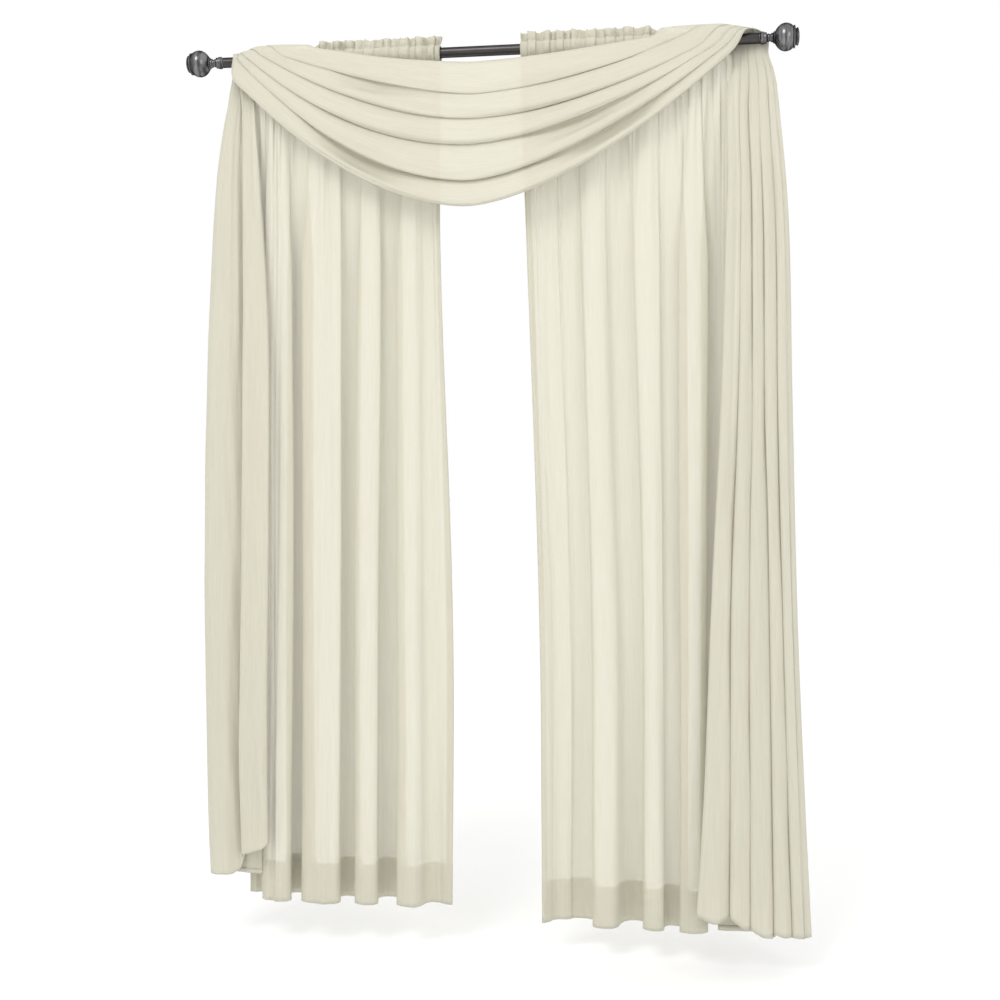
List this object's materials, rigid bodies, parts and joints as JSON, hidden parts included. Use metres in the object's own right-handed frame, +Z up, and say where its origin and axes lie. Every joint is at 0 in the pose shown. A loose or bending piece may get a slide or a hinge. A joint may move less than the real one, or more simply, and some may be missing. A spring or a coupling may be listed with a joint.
{
  "type": "sheer window scarf over rod-pocket panels on a curtain rod",
  "caption": "Sheer ivory scarf swagged over a pewter rod with ball finials, its tails framing gathered rod-pocket panels",
  "frame": {"origin": "middle of the rod's axis", "axes": "+X along the rod, +Y towards the wall behind, +Z up"},
  "size_m": [1.5414, 0.1484, 2.1544],
  "materials": {
    "scarf_voile": "sheer ivory voile with a fine crinkle",
    "panel_voile": "sheer ivory voile",
    "rod_pewter": "dark pewter, satin",
    "finial_pewter": "antiqued pewter, polished high spots"
  },
  "bodies": {
    "root": {"scarf": "scarf_voile", "panel_left": "panel_voile", "panel_right": "panel_voile", "rod": "rod_pewter", "finial_left": "finial_pewter", "finial_right": "finial_pewter"}
  },
  "joints": []
}
